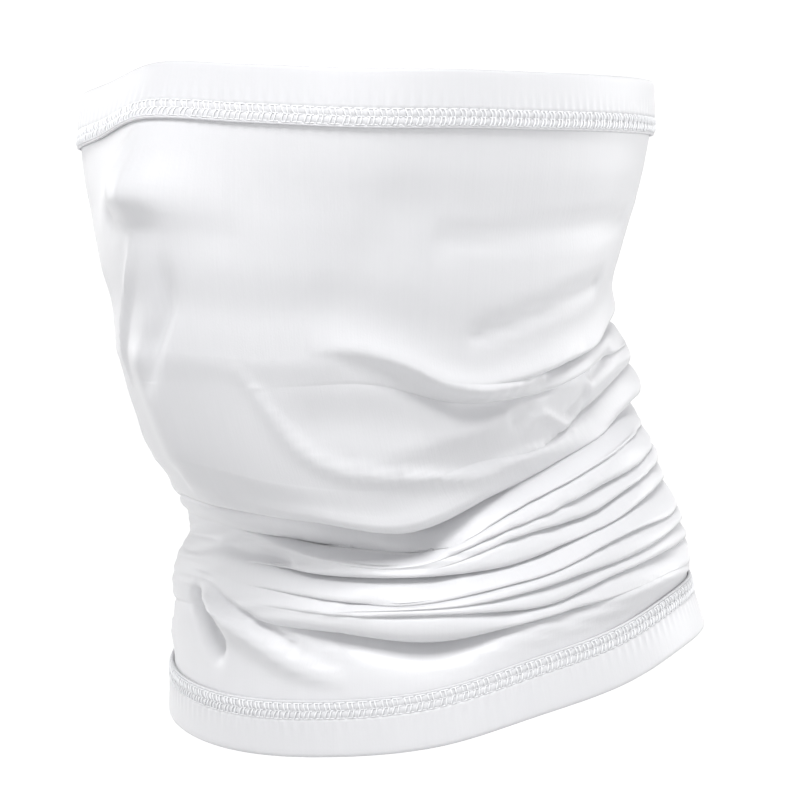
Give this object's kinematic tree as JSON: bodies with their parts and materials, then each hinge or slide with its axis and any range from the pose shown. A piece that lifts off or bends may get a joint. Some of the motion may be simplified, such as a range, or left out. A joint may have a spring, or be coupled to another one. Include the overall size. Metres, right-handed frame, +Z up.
{
  "type": "neck gaiter",
  "caption": "Stretch-knit cooling tube worn over nose, chin and neck, with turned stitched hems and soft gathers at the neck.",
  "frame": {"origin": "middle of the top opening, level with the nose bridge, where the head holds the tube up", "axes": "+Z up towards the crown, the face looks towards -Y, the wearer's left is +X"},
  "size_m": [0.176, 0.2254, 0.2182],
  "materials": {
    "body_knit": "smooth, faintly lustrous fine knit",
    "top_hem_knit": "the same knit, turned double and cover-stitched",
    "bottom_hem_knit": "the same knit, turned double and cover-stitched"
  },
  "bodies": {
    "root": {"body_tube": "body_knit", "top_hem": "top_hem_knit", "bottom_hem": "bottom_hem_knit"}
  },
  "joints": []
}
